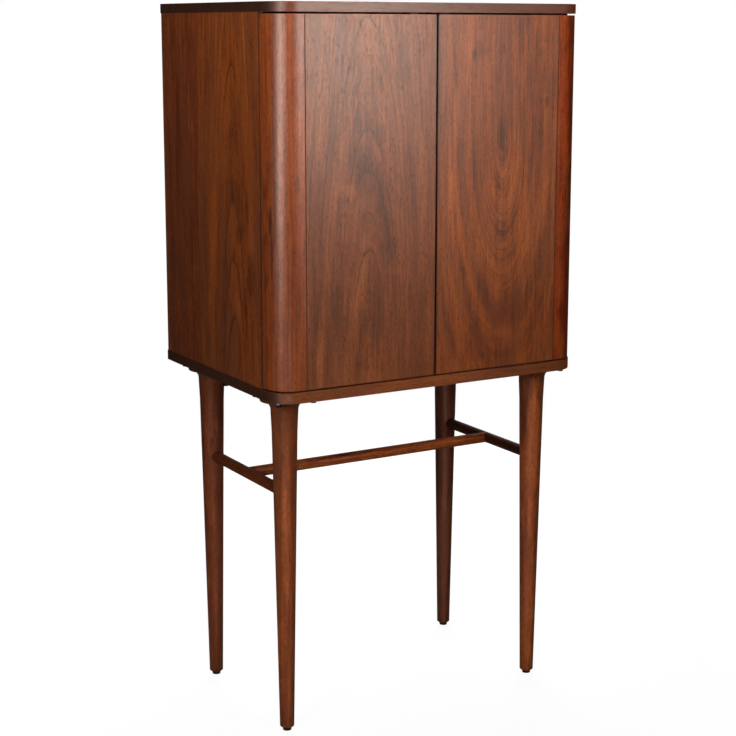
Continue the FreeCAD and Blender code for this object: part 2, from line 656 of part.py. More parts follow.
def flap_hinges():
    """Back-flap hinges let into the shelf's and the leaf's facing surfaces at their common
    front edge. Three knuckles share a pin whose axis is that edge."""
    pins, notches = [], []
    screws = {"fixed": [], "moving": []}
    plates = {"fixed": [], "moving": []}
    for side, x in (("left", "-flap_x"), ("right", "flap_x")):
        start = x + " - flap_wide / 2"
        end = start + " + flap_wide"
        bore = rod("hinge_bore_" + side, "X", "hinge_pin_dia / 2 + hinge_pin_play", start, end,
                   HINGE_LINE)
        pins.append(rod("hinge_pin_" + side, "X", "hinge_pin_dia / 2", start, end, HINGE_LINE))
        notches.append(rod("hinge_notch_" + side, "X", "knuckle_dia / 2 + knuckle_play",
                           start + " - knuckle_play", end + " + knuckle_play", HINGE_LINE))
        for which, levels, own in (
                ("fixed", ("shelf_height - flap_thick", "shelf_height"), (0, 2)),
                ("moving", ("shelf_height", "shelf_height + flap_thick"), (1,))):
            name = "flap_%s_%s" % (which, side)
            plate, blank = flap(name, start, levels, own)
            own_screws = flap_screws(name, x, which == "fixed")
            plates[which].append(plate)
            screws[which] += own_screws
            subpart(cut(name, blank, bore, *own_screws), "%s_leaf_hinge_%s_flap" % (side, which))
    subpart(group("hinge_pins", pins), "leaf_hinge_pins")
    shelf_screws = subpart(group("shelf_screws", screws["fixed"]), "shelf_hinge_screws")
    leaf_screws = subpart(group("leaf_screws", screws["moving"]), "leaf_hinge_screws")
    subpart(cut("shelf_cut", shelf_blank, dowel_set, shelf_screws, *plates["fixed"], *notches),
            "middle_shelf")
    subpart(cut("leaf_cut", leaf_blank, leaf_screws, *plates["moving"], *notches),
            "fold_out_leaf")


flap_hinges()


def ledgers():
    """Strips screwed and glued to the sides, which carry the leaf when it is folded out."""
    left = block("ledger", ("-side_in", "-side_in + ledger_wide"),
                 ("shelf_y - leaf_depth", "shelf_y"),
                 ("shelf_height - leaf_thick - ledger_high", "shelf_height - leaf_thick"))
    subpart(left, "left_leaf_ledger")
    subpart(mirror("right_ledger", left), "right_leaf_ledger")


ledgers()


# ---------------------------------------------------------------- stemware rails
# Tee-shaped rails under the top board; the feet of glasses slide between them.
def stemware_rail(number):
    middle = "rail_pitch * (%d - (%d - 1) / 2)" % (number, RAILS)
    low, edge, high = "ceiling_z - rail_drop", "ceiling_z - rail_drop + rail_flange", "ceiling_z"
    depth = ("back_front - rail_long", "back_front")
    flange = block("rail_flange_%d" % number, (middle + " - rail_wide / 2",
                                                middle + " + rail_wide / 2"), depth, (low, edge))
    web = block("rail_web_%d" % number, (middle + " - rail_web / 2", middle + " + rail_web / 2"),
                depth, (edge, high))
    subpart(fuse("rail_%d" % number, flange, web), "stemware_rail_%d" % (number + 1))


for rail_number in range(RAILS):
    stemware_rail(rail_number)


# ---------------------------------------------------------------- bottle grid
# Crossed slats, halved over each other, that stand loose on the bottom board.
def bottle_grid():
    columns = ["pitch * (%d - %d / 2)" % (i, CELL_COLUMNS) for i in range(CELL_COLUMNS + 1)]
    last_row = "back_front - slat_overrun - slat_thick"
    rows = [last_row + " - pitch * %d" % i for i in range(CELL_ROWS + 1)]
    half, end = "slat_thick / 2", "slat_overrun + slat_thick / 2"
    middle_z = "floor_z + slat_high / 2"
    levels = ("floor_z", "floor_z + slat_high")

    def about(place_on_axis, reach):
        return ("%s - (%s)" % (place_on_axis, reach), "%s + %s" % (place_on_axis, reach))

    def notch(name, x, y, along_x, z):
        """The slot that lets one slat half-way into a crossing one, with play on each side."""
        close, wide = half + " + slat_play", "slat_thick"
        return block(name, about(x, close if along_x else wide),
                     about(y, wide if along_x else close), z)
    long_slats, cross_slats = [], []
    for i, y in enumerate(rows):
        blank = block("long_slat_%d_blank" % i,
                      (about(columns[0], end)[0], about(columns[-1], end)[1]), about(y, half),
                      levels)
        notches = [notch("long_slat_%d_notch_%d" % (i, j), x, y, True,
                         (middle_z, "floor_z + slat_high * 2")) for j, x in enumerate(columns)]
        long_slats.append(cut("long_slat_%d" % i, blank, *notches))
    for i, x in enumerate(columns):
        blank = block("cross_slat_%d_blank" % i, about(x, half),
                      (about(rows[-1], end)[0], about(rows[0], end)[1]), levels)
        notches = [notch("cross_slat_%d_notch_%d" % (i, j), x, y, False,
                         ("floor_z - slat_high", middle_z)) for j, y in enumerate(rows)]
        cross_slats.append(cut("cross_slat_%d" % i, blank, *notches))
    subpart(group("long_slats", long_slats), "bottle_grid_long_slats")
    subpart(group("cross_slats", cross_slats), "bottle_grid_cross_slats")


bottle_grid()


# ---------------------------------------------------------------- door racks
# A floor between two cheeks on the inside of each door, and a brass rod that keeps bottles in.
def door_rack():
    inner = ("-rack_far + cheek_thick", "-rack_near - cheek_thick")
    floor = block("rack_floor_board", inner, ("door_in", "rack_y"),
                  ("rack_low", "rack_low + rack_floor"))
    rail = rod("rack_rod", "X", "rack_rod_dia / 2", inner[0] + " - rack_rod_seat",
               inner[1] + " + rack_rod_seat", ("rod_y", "rod_z"))
    cheeks = []
    for end, (low, high) in enumerate((("-rack_far", inner[0]), (inner[1], "-rack_near"))):
        body = prism("rack_cheek_%d_blank" % end, rectangle((low, high), ("door_in", "rack_y")),
                     "rack_low", "rack_low + cheek_high")
        whole = body.Tip.Shape.BoundBox
        round_edges(body, "rack_cheek_%d_round" % end, "cheek_round",
                    lambda edge: at(edge.BoundBox.ZMin, whole.ZMax)
                    and at(edge.BoundBox.YMin, whole.YMax))
        cheeks.append(cut("rack_cheek_%d" % end, body, rail))
    for piece, label in ((floor, "rack_floor"), (group("rack_cheeks", cheeks), "rack_cheeks"),
                         (rail, "rack_rail")):
        subpart(piece, "left_" + label)
        subpart(mirror("right_" + piece.Name, piece), "right_" + label)


door_rack()


# ---------------------------------------------------------------- boards and sides, finished
right_recesses = [mirror("right_low_recess", low_recess), mirror("right_high_recess", high_recess)]
subpart(cut("top_cut", top_blank, dowel_set, high_recess, right_recesses[1]), "top_board")
subpart(cut("bottom_cut", bottom_blank, dowel_set, low_recess, right_recesses[0], bolt_set,
            stud_set, side_bolt_set), "bottom_board")
right_side_blank = mirror("right_side_blank", left_side_blank)
for side_name, blank_panel in (("left", left_side_blank), ("right", right_side_blank)):
    subpart(cut(side_name + "_side_cut", blank_panel, dowel_set, back_screw_set, side_bolt_set),
            side_name + "_side_panel")


# ---------------------------------------------------------------- checks and files
doc.recompute()
for item in doc.Objects:
    if "Invalid" in item.State or "Error" in item.State:
        raise RuntimeError("%s failed: %s" % (item.Name, item.State))
for item in subparts:
    if item.Shape.isNull() or not item.Shape.isValid() or not item.Shape.Solids:
        raise RuntimeError("%s has no valid solid" % item.Label)
os.makedirs("parts", exist_ok=True)
for item in subparts:
    item.Shape.exportStep("parts/%s.step" % item.Label)
    print("%-28s %2d solids %12.0f mm3" % (item.Label, len(item.Shape.Solids), item.Shape.Volume))
print(len(subparts), "sub-parts")
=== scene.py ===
import math

import bpy
from mathutils import Matrix, Vector


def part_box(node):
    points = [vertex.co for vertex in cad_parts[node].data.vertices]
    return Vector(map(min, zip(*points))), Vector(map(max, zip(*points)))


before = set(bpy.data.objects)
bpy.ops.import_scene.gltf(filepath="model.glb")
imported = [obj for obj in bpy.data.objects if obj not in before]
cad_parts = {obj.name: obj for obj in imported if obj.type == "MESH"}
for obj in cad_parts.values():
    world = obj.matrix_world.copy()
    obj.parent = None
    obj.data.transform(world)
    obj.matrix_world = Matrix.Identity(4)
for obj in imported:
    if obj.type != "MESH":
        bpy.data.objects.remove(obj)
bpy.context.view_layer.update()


# ---------------------------------------------------------------- bottom board
# The case is built up from this board: solid American walnut, 20 mm thick, planed, rounded at
# its front corners and rubbed with a dark satin oil. Its grain runs from side to side.

def feed(tree, socket, value):
    """Gives a socket a plain value, or joins it to another node's socket."""
    if isinstance(value, bpy.types.NodeSocket):
        tree.links.new(value, socket)
    else:
        socket.default_value = value


def node(tree, kind, options=None, **inputs):
    """A new node. Inputs are named as on the node, with _ for a space, or by number after an i."""
    made = tree.nodes.new(kind)
    for option, value in (options or {}).items():
        setattr(made, option, value)
    for name, value in inputs.items():
        by_number = name[0] == "i" and name[1:].isdigit()
        feed(tree, made.inputs[int(name[1:]) if by_number else name.replace("_", " ")], value)
    return made


def at_surface(tree, reading="Object"):
    """Where the surface lies in the cabinet's frame, in metres, or another reading of it."""
    return tree.nodes.new("ShaderNodeTexCoord").outputs[reading]


def apart(tree, vector):
    """The X, Y and Z of a vector."""
    return node(tree, "ShaderNodeSeparateXYZ", i0=vector).outputs


def reckon(tree, operation, first, second=0.0, third=0.0, clamp=False):
    """One step of arithmetic on values that change over the surface."""
    options = {"operation": operation, "use_clamp": clamp}
    return node(tree, "ShaderNodeMath", options, i0=first, i1=second, i2=third).outputs[0]


def sway(tree, noise, share, base=0.0):
    """The base value, moved up and down by a noise that lies about one half."""
    return reckon(tree, "MULTIPLY_ADD", reckon(tree, "SUBTRACT", noise, 0.5), share, base)


def ease(tree, value, start, end, low=0.0, high=1.0):
    """Turns smoothly from low to high while the value goes from start to end."""
    options = {"interpolation_type": "SMOOTHSTEP"}
    return node(tree, "ShaderNodeMapRange", options, Value=value, From_Min=start, From_Max=end,
                To_Min=low, To_Max=high).outputs[0]


def stain(tree, share, ground, colour, blend="MIX"):
    """Lays one colour over another by the given share."""
    options = {"data_type": "RGBA", "blend_type": blend, "clamp_factor": True}
    return node(tree, "ShaderNodeMix", options, i0=share, i6=ground, i7=colour).outputs[2]


def cloud(tree, point, spots, detail=2.0, rough=0.5, output=0):
    """Soft noise, with as many spots to a metre in each direction as spots says."""
    spread = node(tree, "ShaderNodeVectorMath", {"operation": "MULTIPLY"}, i0=point, i1=spots)
    return node(tree, "ShaderNodeTexNoise", Vector=spread.outputs[0], Scale=1.0, Detail=detail,
                Roughness=rough).outputs[output]


def linear(red, green, blue):
    """A colour read from a finished board, 0 to 255, as the shader wants it."""
    parts = [c / 255 for c in (red, green, blue)]
    return tuple(c / 12.92 if c <= 0.04045 else ((c + 0.055) / 1.055) ** 2.4 for c in parts) + (1.0,)


def new_group(name, inputs, outputs):
    """An empty node group with these sockets, and its own input and output nodes."""
    kinds = {"value": "NodeSocketFloat", "point": "NodeSocketVector", "colour": "NodeSocketColor"}
    tree = bpy.data.node_groups.new(name, "ShaderNodeTree")
    for label, kind, default in inputs:
        socket = tree.interface.new_socket(label, in_out="INPUT", socket_type=kinds[kind])
        socket.default_value = default
    for label, kind in outputs:
        tree.interface.new_socket(label, in_out="OUTPUT", socket_type=kinds[kind])
    return tree, tree.nodes.new("NodeGroupInput").outputs, tree.nodes.new("NodeGroupOutput").inputs


HEARTWOOD = linear(76, 34, 13)
OILED_WALNUT = linear(129, 63, 22)
LIGHT_FIGURE = linear(164, 84, 32)
PURPLE_CAST = linear(108, 57, 34)
PORE_BLACK = (0.004, 0.002, 0.001, 1)
# spots to a metre: across the face, into it, along the grain
SLOW_BENDS = (7, 7, 1.7)
QUICK_BENDS = (30, 30, 7)
FINE_STREAKS = (200, 200, 10)
MOTTLING = (40, 40, 24)
FIBRES = (620, 620, 110)
OPEN_PORES = (760, 760, 120)
# spots to a metre: out from the pith, round it, along the grain
STREAKS = (80, 16, 3.5)
CASTS = (50, 12, 2.2)
# how strongly each marking shows
QUICK_BEND_SHARE = 0.3
RING_TONE = 0.7
STREAK_STRENGTH = 1.9
FIBRE_STRENGTH = 0.7
LATEWOOD_STAIN = 0.95
PORE_DARKNESS = 0.65
END_SOAK = 0.88
# past the pith the rings are drawn out, so that none closes into a small circle
PAST_PITH = 0.2


def find_pith(tree, given, moved):
    """How far the surface lies from the wandering pith: across the face, and in a straight line."""
    place = apart(tree, given["Point"])
    slow = apart(tree, cloud(tree, moved, SLOW_BENDS, 1.0, output=1))
    quick = apart(tree, cloud(tree, moved, QUICK_BENDS, 2.0, output=1))

    def bent(axis, distance):
        bend = sway(tree, quick[axis], QUICK_BEND_SHARE, sway(tree, slow[axis], 1.0))
        return reckon(tree, "MULTIPLY_ADD", bend, given["Wander"], distance)

    across = bent("X", reckon(tree, "SUBTRACT", place["X"], given["Pith Across"]))
    into = reckon(tree, "ADD", place["Y"], given["Pith Depth"])
    into = bent("Y", reckon(tree, "MULTIPLY_ADD", place["Z"], given["Slope"], into))
    into = reckon(tree, "MAXIMUM", into, reckon(tree, "MULTIPLY", into, PAST_PITH))
    squares = reckon(tree, "MULTIPLY_ADD", across, across, reckon(tree, "MULTIPLY", into, into))
    return across, reckon(tree, "SQRT", squares)


def mark_rings(tree, given, across, radius):
    """The place in the ring, its dark latewood, and the tone that chance gives the whole ring.

    Latewood darkens over the last twelfth of a ring and fades in the first fifth of the next.
    """
    count = reckon(tree, "DIVIDE", radius, given["Ring Width"])
    ring = reckon(tree, "FLOOR", count)
    phase = reckon(tree, "SUBTRACT", count, ring)
    chance = node(tree, "ShaderNodeTexWhiteNoise", {"noise_dimensions": "1D"},
                  W=reckon(tree, "MULTIPLY_ADD", given["Seed"], 31.7, ring)).outputs["Color"]
    chances = apart(tree, chance)
    latewood = reckon(tree, "ADD", ease(tree, phase, 0.0, 0.2, 1.0, 0.0), ease(tree, phase, 0.92, 1.0))
    latewood = reckon(tree, "MULTIPLY", latewood, ease(tree, chances["X"], 0.2, 0.75))
    fading = reckon(tree, "DIVIDE", reckon(tree, "ABSOLUTE", across), given["Ring Spread"])
    mark = reckon(tree, "MULTIPLY", given["Ring Mark"], ease(tree, fading, 0.4, 1.0, 1.0, 0.3))
    band = sway(tree, chances["Y"], reckon(tree, "MULTIPLY_ADD", phase, -RING_TONE, RING_TONE))
    return phase, reckon(tree, "MULTIPLY", latewood, mark), reckon(tree, "MULTIPLY_ADD", band, mark, 0.5)


def make_wood_figure():
    """Growth rings about a sloping pith, streaks that follow them, straight fibre and open pores.

    Point is in metres: x across the face, y into it, z along the grain. The pith runs where x is
    Pith Across and y is minus Pith Depth, less Slope times z.
    """
    tree, given, result = new_group("wood_figure", (
        ("Point", "point", (0, 0, 0)), ("Seed", "value", 0.0),
        ("Deep", "colour", HEARTWOOD), ("Body", "colour", OILED_WALNUT),
        ("Light", "colour", LIGHT_FIGURE), ("Cast", "colour", PURPLE_CAST),
        ("Pith Across", "value", 0.0), ("Pith Depth", "value", 0.1), ("Slope", "value", 0.0),
        ("Ring Width", "value", 0.007), ("Wander", "value", 0.012), ("Ring Mark", "value", 0.5),
        ("Ring Spread", "value", 0.4), ("Streaks", "value", 0.5), ("Fine", "value", 1.0),
        ("Mottle", "value", 0.5), ("Cast Share", "value", 0.4), ("Pores", "value", 0.6),
        ("End Grain", "value", 0.0)),
        (("Color", "colour"), ("Gloss Loss", "value"), ("Height", "value")))
    seed = given["Seed"]
    shift = node(tree, "ShaderNodeCombineXYZ", X=reckon(tree, "MULTIPLY", seed, 17.31),
                 Y=reckon(tree, "MULTIPLY", seed, 9.77), Z=reckon(tree, "MULTIPLY", seed, 5.13))
    moved = node(tree, "ShaderNodeVectorMath", i0=given["Point"], i1=shift.outputs[0]).outputs[0]
    across, radius = find_pith(tree, given, moved)
    phase, latewood, tone = mark_rings(tree, given, across, radius)

    along = reckon(tree, "MULTIPLY_ADD", seed, 5.13, apart(tree, given["Point"])["Z"])
    along_ring = node(tree, "ShaderNodeCombineXYZ", X=radius, Y=across, Z=along).outputs[0]
    streak = cloud(tree, along_ring, STREAKS, 4.0, 0.6)
    fine_streak = cloud(tree, moved, FINE_STREAKS, 3.0, 0.6)
    mottle = cloud(tree, moved, MOTTLING, 5.0, 0.72)
    fibre = cloud(tree, moved, FIBRES, 1.0)
    for part, share in ((streak, reckon(tree, "MULTIPLY", given["Streaks"], STREAK_STRENGTH)),
                        (fine_streak, given["Fine"]), (mottle, given["Mottle"]), (fibre, FIBRE_STRENGTH)):
        tone = sway(tree, part, share, tone)
    darker_half = reckon(tree, "MULTIPLY", tone, 2.0, clamp=True)
    lighter_half = reckon(tree, "MULTIPLY_ADD", tone, 2.0, -1.0, clamp=True)
    colour = stain(tree, darker_half, given["Deep"], given["Body"])
    colour = stain(tree, lighter_half, colour, given["Light"])
    cast = ease(tree, cloud(tree, along_ring, CASTS, 2.0), 0.42, 0.62)
    colour = stain(tree, reckon(tree, "MULTIPLY", cast, given["Cast Share"]), colour, given["Cast"])
    colour = stain(tree, reckon(tree, "MULTIPLY", latewood, LATEWOOD_STAIN), colour, given["Deep"])

    pore = ease(tree, cloud(tree, moved, OPEN_PORES, 1.0), 0.56, 0.7)
    pore = reckon(tree, "MULTIPLY", pore, reckon(tree, "MULTIPLY_ADD", phase, -0.5, 1.0))
    open_pore = reckon(tree, "MULTIPLY", pore, given["Pores"])
    black = stain(tree, PORE_DARKNESS, given["Deep"], PORE_BLACK)
    colour = stain(tree, open_pore, colour, black)
    soaked = reckon(tree, "MULTIPLY", ease(tree, given["End Grain"], 0.55, 0.95), END_SOAK)
    feed(tree, result["Color"], stain(tree, soaked, colour, black))
    dull = reckon(tree, "MULTIPLY_ADD", fine_streak, 0.3, reckon(tree, "ADD", open_pore, soaked))
    feed(tree, result["Gloss Loss"], dull)
    relief = reckon(tree, "MULTIPLY_ADD", open_pore, -1.0, reckon(tree, "MULTIPLY", fibre, 0.25))
    feed(tree, result["Height"], reckon(tree, "MULTIPLY_ADD", latewood, -0.2, relief))
    return tree


WOOD_FIGURE = make_wood_figure()
# which way the object's X, Y and Z lie on a board: across its face, into it, along its grain
UPRIGHT, UPRIGHT_SIDE, LENGTHWAYS, FRONT_TO_BACK = "XYZ", "YXZ", "YZX", "XZY"
SATIN_OIL = 0.41
OIL_SHINE = 0.6
OIL_TINT = (1.0, 0.93, 0.85, 1)
DULLING = 0.2
USUAL_LOSS = 0.2
PORE_DEPTH = 0.00012


def on_board(tree, grain):
    """Where the surface lies on its board: across the face, into it and along the grain."""
    place = apart(tree, at_surface(tree))
    return node(tree, "ShaderNodeCombineXYZ", X=place[grain[0]], Y=place[grain[1]],
                Z=place[grain[2]]).outputs[0]


def figured(tree, grain, ends=1.0, **look):
    """The wood figure placed in a material, with the grain lying as asked.

    Bare end grain drinks more oil. A veneered panel, whose ends are lipped, has ends of 0.
    """
    facing = apart(tree, at_surface(tree, "Normal"))
    end_grain = reckon(tree, "MULTIPLY", reckon(tree, "ABSOLUTE", facing[grain[2]]), ends)
    return node(tree, "ShaderNodeGroup", {"node_tree": WOOD_FIGURE}, Point=on_board(tree, grain),
                End_Grain=end_grain, **look).outputs


def new_material(name):
    """An empty material and its node tree."""
    material = bpy.data.materials.new(name)
    material.use_nodes = True
    material.node_tree.nodes.clear()
    return material, material.node_tree


def finish_surface(tree, colour, roughness, height, relief, **sockets):
    """The one shader of a material, with its bump."""
    bump = node(tree, "ShaderNodeBump", Strength=1.0, Distance=relief, Height=height)
    shader = node(tree, "ShaderNodeBsdfPrincipled", Base_Color=colour, Roughness=roughness,
                  Normal=bump.outputs[0], **sockets)
    node(tree, "ShaderNodeOutputMaterial", Surface=shader.outputs[0])


def oiled(tree, wood, gloss=SATIN_OIL, shine=OIL_SHINE):
    """Satin oil over a wood figure: the pores and soft streaks shine less."""
    rough = reckon(tree, "MULTIPLY_ADD", wood["Gloss Loss"], DULLING, gloss - DULLING * USUAL_LOSS)
    finish_surface(tree, wood["Color"], rough, wood["Height"], PORE_DEPTH, Specular_IOR_Level=shine,
                   Specular_Tint=OIL_TINT)


def wooden(name, grain, shine=OIL_SHINE, **look):
    """One plain board or stick, with a figure of its own."""
    material, tree = new_material(name)
    oiled(tree, figured(tree, grain, **look), shine=shine)
    return material


def dress(material, *names):
    """Gives CAD nodes their finish."""
    for name in names:
        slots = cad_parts[name].material_slots
        if not slots:
            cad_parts[name].data.materials.append(material)
        for slot in slots:
            slot.material = material


dress(wooden("bottom_board_walnut", LENGTHWAYS, Seed=2.3, Pith_Across=0.03, Pith_Depth=-0.59,
             Slope=0.02, Cast_Share=0.2), "bottom_board")


# ---------------------------------------------------------------- dowels
# Fluted beech pins, glued half into the boards and half into the side panels. The carcass
# hides them.

BEECH_PORES = linear(176, 128, 86)
BEECH = linear(214, 172, 124)
BEECH_RAYS = linear(228, 192, 148)

dress(wooden("raw_beech", UPRIGHT, Seed=5.1, Deep=BEECH_PORES, Body=BEECH, Light=BEECH_RAYS,
             Cast=BEECH_RAYS, Pores=0.25, Ring_Mark=0.3), "carcass_dowels")


# ---------------------------------------------------------------- side panels
# Walnut veneer on a stable core, laid in two leaves with an upright joint between them.
# The rear leaf is the darker, redder one, and the front edge is lipped. Painted shade darkens
# that front edge, for the gap to the corner post.

def make_grain_and_light_patch():
    """A knot, flame or cloud in the wood, and also the patches of painted light and painted shade: the
    colour is tinted inside a ragged oval.
    """
    tree, given, result = new_group("grain_and_light_patch", (
        ("Color", "colour", OILED_WALNUT), ("Point", "point", (0, 0, 0)), ("Seed", "value", 0.0),
        ("Across", "value", 0.0), ("Along", "value", 0.0), ("Half Wide", "value", 0.01),
        ("Half Tall", "value", 0.02), ("Torn", "value", 0.3), ("Tint", "colour", (1, 1, 1, 1)),
        ("Share", "value", 1.0)), (("Color", "colour"),))
    place = apart(tree, given["Point"])
    jolt = node(tree, "ShaderNodeCombineXYZ", X=given["Seed"], Y=given["Seed"], Z=given["Seed"])
    moved = node(tree, "ShaderNodeVectorMath", i0=given["Point"], i1=jolt.outputs[0]).outputs[0]
    soft = apart(tree, cloud(tree, moved, (60, 60, 22), 3.0, output=1))
    torn = cloud(tree, moved, (420, 420, 8), 2.0)

    def offset(here, centre, half, push):
        away = reckon(tree, "DIVIDE", reckon(tree, "SUBTRACT", here, centre), half)
        return reckon(tree, "ADD", away, push)

    sideways = offset(place["X"], given["Across"], given["Half Wide"], sway(tree, soft["X"], 1.4))
    tear = sway(tree, torn, given["Torn"], sway(tree, soft["Y"], 1.0))
    lengthways = offset(place["Z"], given["Along"], given["Half Tall"], tear)
    squares = reckon(tree, "MULTIPLY_ADD", sideways, sideways,
                     reckon(tree, "MULTIPLY", lengthways, lengthways))
    reach = reckon(tree, "SQRT", squares)
    mask = reckon(tree, "MULTIPLY", ease(tree, reach, 0.45, 1.05, 1.0, 0.0), given["Share"])
    feed(tree, result["Color"], stain(tree, mask, given["Color"], given["Tint"], "MULTIPLY"))
    return tree


GRAIN_AND_LIGHT_PATCH = make_grain_and_light_patch()
DARK_CLOUD = (0.62, 0.63, 0.68, 1)
KNOT_HEART = (0.25, 0.25, 0.30, 1)
# a paler tint for flame figure, also used as painted light: under the left post's highlights and over the
# right door's middle
PALE_FLAME_AND_PAINTED_LIGHT = (1.42, 1.42, 1.35, 1)


def patched(tree, wood, grain, patches):
    """The same wood with patches laid in: across, along, half width, half height, tear, tint, share."""
    point = on_board(tree, grain)
    colour = wood["Color"]
    for number, (across, along, half_wide, half_tall, torn, tint, share) in enumerate(patches):
        colour = node(tree, "ShaderNodeGroup", {"node_tree": GRAIN_AND_LIGHT_PATCH}, Color=colour, Point=point,
                      Seed=1.7 * number, Across=across, Along=along, Half_Wide=half_wide,
                      Half_Tall=half_tall, Torn=torn, Tint=tint, Share=share).outputs["Color"]
    return {"Color": colour, "Gloss Loss": wood["Gloss Loss"], "Height": wood["Height"]}


# the brown of glue joints, also laid as painted shade in the gaps beside the doors' free edges and the
# side panels' front edges
GLUE_AND_GAP_SHADE_BROWN = linear(40, 18, 9)


def seamed(tree, wood, dark, dull, loss):
    """The same wood, dark along its glue joints and, as painted shade, along edges that stand in a gap,
    and with less gloss where it is dull.
    """
    colour = stain(tree, dark, wood["Color"], GLUE_AND_GAP_SHADE_BROWN)
    gloss_loss = reckon(tree, "MULTIPLY_ADD", dull, loss, wood["Gloss Loss"])
    return {"Color": colour, "Gloss Loss": gloss_loss, "Height": wood["Height"]}


SIDE_FRONT_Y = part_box("left_side_panel")[0].y
VENEER_JOINT_Y = 0.082
JOINT_WIDTH = 0.0006
JOINT_SHARE = 0.5
# the front edge darkens over this reach: painted shade for the gap to the corner post
SIDE_EDGE_SHADE = (0.0006, 0.0014)
SIDE_EDGE_SHADE_SHARE = 0.85
SIDE_EDGE_GLOSS_LOSS = 2.5
FRONT_LEAF_BODY = linear(141, 67, 20)
REAR_LEAF_BODY = linear(122, 52, 17)
SIDE_VENEER = dict(Streaks=0.42, Fine=1.15, Cast_Share=0.5, Mottle=0.6)
SIDE_PATCHES = (
    (-0.062, 1.110, 0.006, 0.030, 0.5, KNOT_HEART, 0.5),
    (-0.067, 1.010, 0.005, 0.022, 0.5, KNOT_HEART, 0.5),
    (-0.094, 0.936, 0.018, 0.022, 0.6, DARK_CLOUD, 0.9),
    (-0.141, 0.860, 0.022, 0.052, 0.7, DARK_CLOUD, 1.0),
    (-0.077, 0.795, 0.022, 0.036, 0.8, PALE_FLAME_AND_PAINTED_LIGHT, 0.7),
    (0.190, 1.262, 0.030, 0.070, 0.6, PALE_FLAME_AND_PAINTED_LIGHT, 0.7),
    (0.150, 1.215, 0.012, 0.070, 0.8, DARK_CLOUD, 0.9))


def side_panel(name, seed, pith_depth):
    """Two leaves of veneer on one panel, with painted shade along the front edge."""
    material, tree = new_material(name)
    front = figured(tree, UPRIGHT_SIDE, Seed=seed, Pith_Across=-0.066, Pith_Depth=pith_depth, Slope=0.06,
                    Wander=0.01, Ring_Mark=0.7, Body=FRONT_LEAF_BODY, **SIDE_VENEER)
    front = patched(tree, front, UPRIGHT_SIDE, SIDE_PATCHES)
    rear = figured(tree, UPRIGHT_SIDE, Seed=seed + 1.7, Pith_Across=0.17, Pith_Depth=0.2, Slope=0.05,
                   Wander=0.03, Body=REAR_LEAF_BODY, **SIDE_VENEER)
    back_to_front = apart(tree, at_surface(tree))["Y"]
    is_rear = reckon(tree, "GREATER_THAN", back_to_front, VENEER_JOINT_Y)
    leaves = {"Color": stain(tree, is_rear, front["Color"], rear["Color"])}
    for value in ("Gloss Loss", "Height"):
        leaves[value] = node(tree, "ShaderNodeMix", i0=is_rear, i2=front[value], i3=rear[value]).outputs[0]
    away = reckon(tree, "ABSOLUTE", reckon(tree, "SUBTRACT", back_to_front, VENEER_JOINT_Y))
    joint = ease(tree, away, 0.0, JOINT_WIDTH, JOINT_SHARE, 0.0)
    # painted shade along the front edge, in the gap to the corner post
    behind_edge = reckon(tree, "SUBTRACT", back_to_front, SIDE_FRONT_Y)
    gap_shade = ease(tree, behind_edge, *SIDE_EDGE_SHADE, SIDE_EDGE_SHADE_SHARE, 0.0)
    dark = reckon(tree, "MAXIMUM", joint, gap_shade)
    oiled(tree, seamed(tree, leaves, dark, gap_shade, SIDE_EDGE_GLOSS_LOSS))
    return material


dress(side_panel("left_side_veneer", 3.4, 0.36), "left_side_panel")
dress(side_panel("right_side_veneer", 6.2, -0.30), "right_side_panel")


# ---------------------------------------------------------------- back panel and its screws
# A veneered board, let in between the sides and held by eight zinc screws.

dress(wooden("back_veneer", UPRIGHT, Seed=8.8, Pith_Across=-0.12, Pith_Depth=0.05, Slope=0.08,
             Ring_Width=0.009), "back_panel")


SCRATCHED = 0.2
SPOTTED = 0.12
TARNISH = 0.72


def metal(name, colour, roughness, brushed, relief):
    """Bare or plated metal, with the fine scratches and dull spots of handling."""
    material, tree = new_material(name)
    point = at_surface(tree)
    scratch = cloud(tree, point, brushed, 3.0, 0.6)
    dull = cloud(tree, point, (60, 60, 60), 3.0, 0.6)
    rough = sway(tree, scratch, SCRATCHED, sway(tree, dull, SPOTTED, roughness))
    tarnished = tuple(c * TARNISH for c in colour[:3]) + (1.0,)
    shade = stain(tree, ease(tree, dull, 0.35, 0.7), tarnished, colour)
    finish_surface(tree, shade, rough, scratch, relief, Metallic=1.0)
    return material


ZINC = metal("zinc_plate", linear(186, 188, 190), roughness=0.36, brushed=(900, 900, 900), relief=0.00002)
dress(ZINC, "back_panel_screws")


# ---------------------------------------------------------------- top board
# The lid of the cabinet, solid walnut 18 mm thick. It is a darker, more purple board than
# the doors, and stands a hair proud of them all round.

TOP_BODY = linear(101, 46, 23)
TOP_LIGHT = linear(124, 62, 32)
TOP_CAST = linear(90, 50, 38)

dress(wooden("top_board_walnut", LENGTHWAYS, Seed=4.6, Body=TOP_BODY, Light=TOP_LIGHT, Cast=TOP_CAST,
             Pith_Across=0.05, Pith_Depth=-1.22, Slope=0.03, Cast_Share=0.3, shine=0.55), "top_board")


# ---------------------------------------------------------------- leg plates, bolts and glides
# Each leg screws into a zinc steel plate under the board, which four blackened bolts hold.
# A black nylon glide is pressed into each foot.

dress(ZINC, "leg_mounting_plates", "leg_hanger_studs")
BLACKENED = metal("blackened_steel", linear(40, 38, 37), roughness=0.5, brushed=(700, 700, 700),
                  relief=0.00003)
dress(BLACKENED, "leg_plate_bolts", "side_panel_bolts")


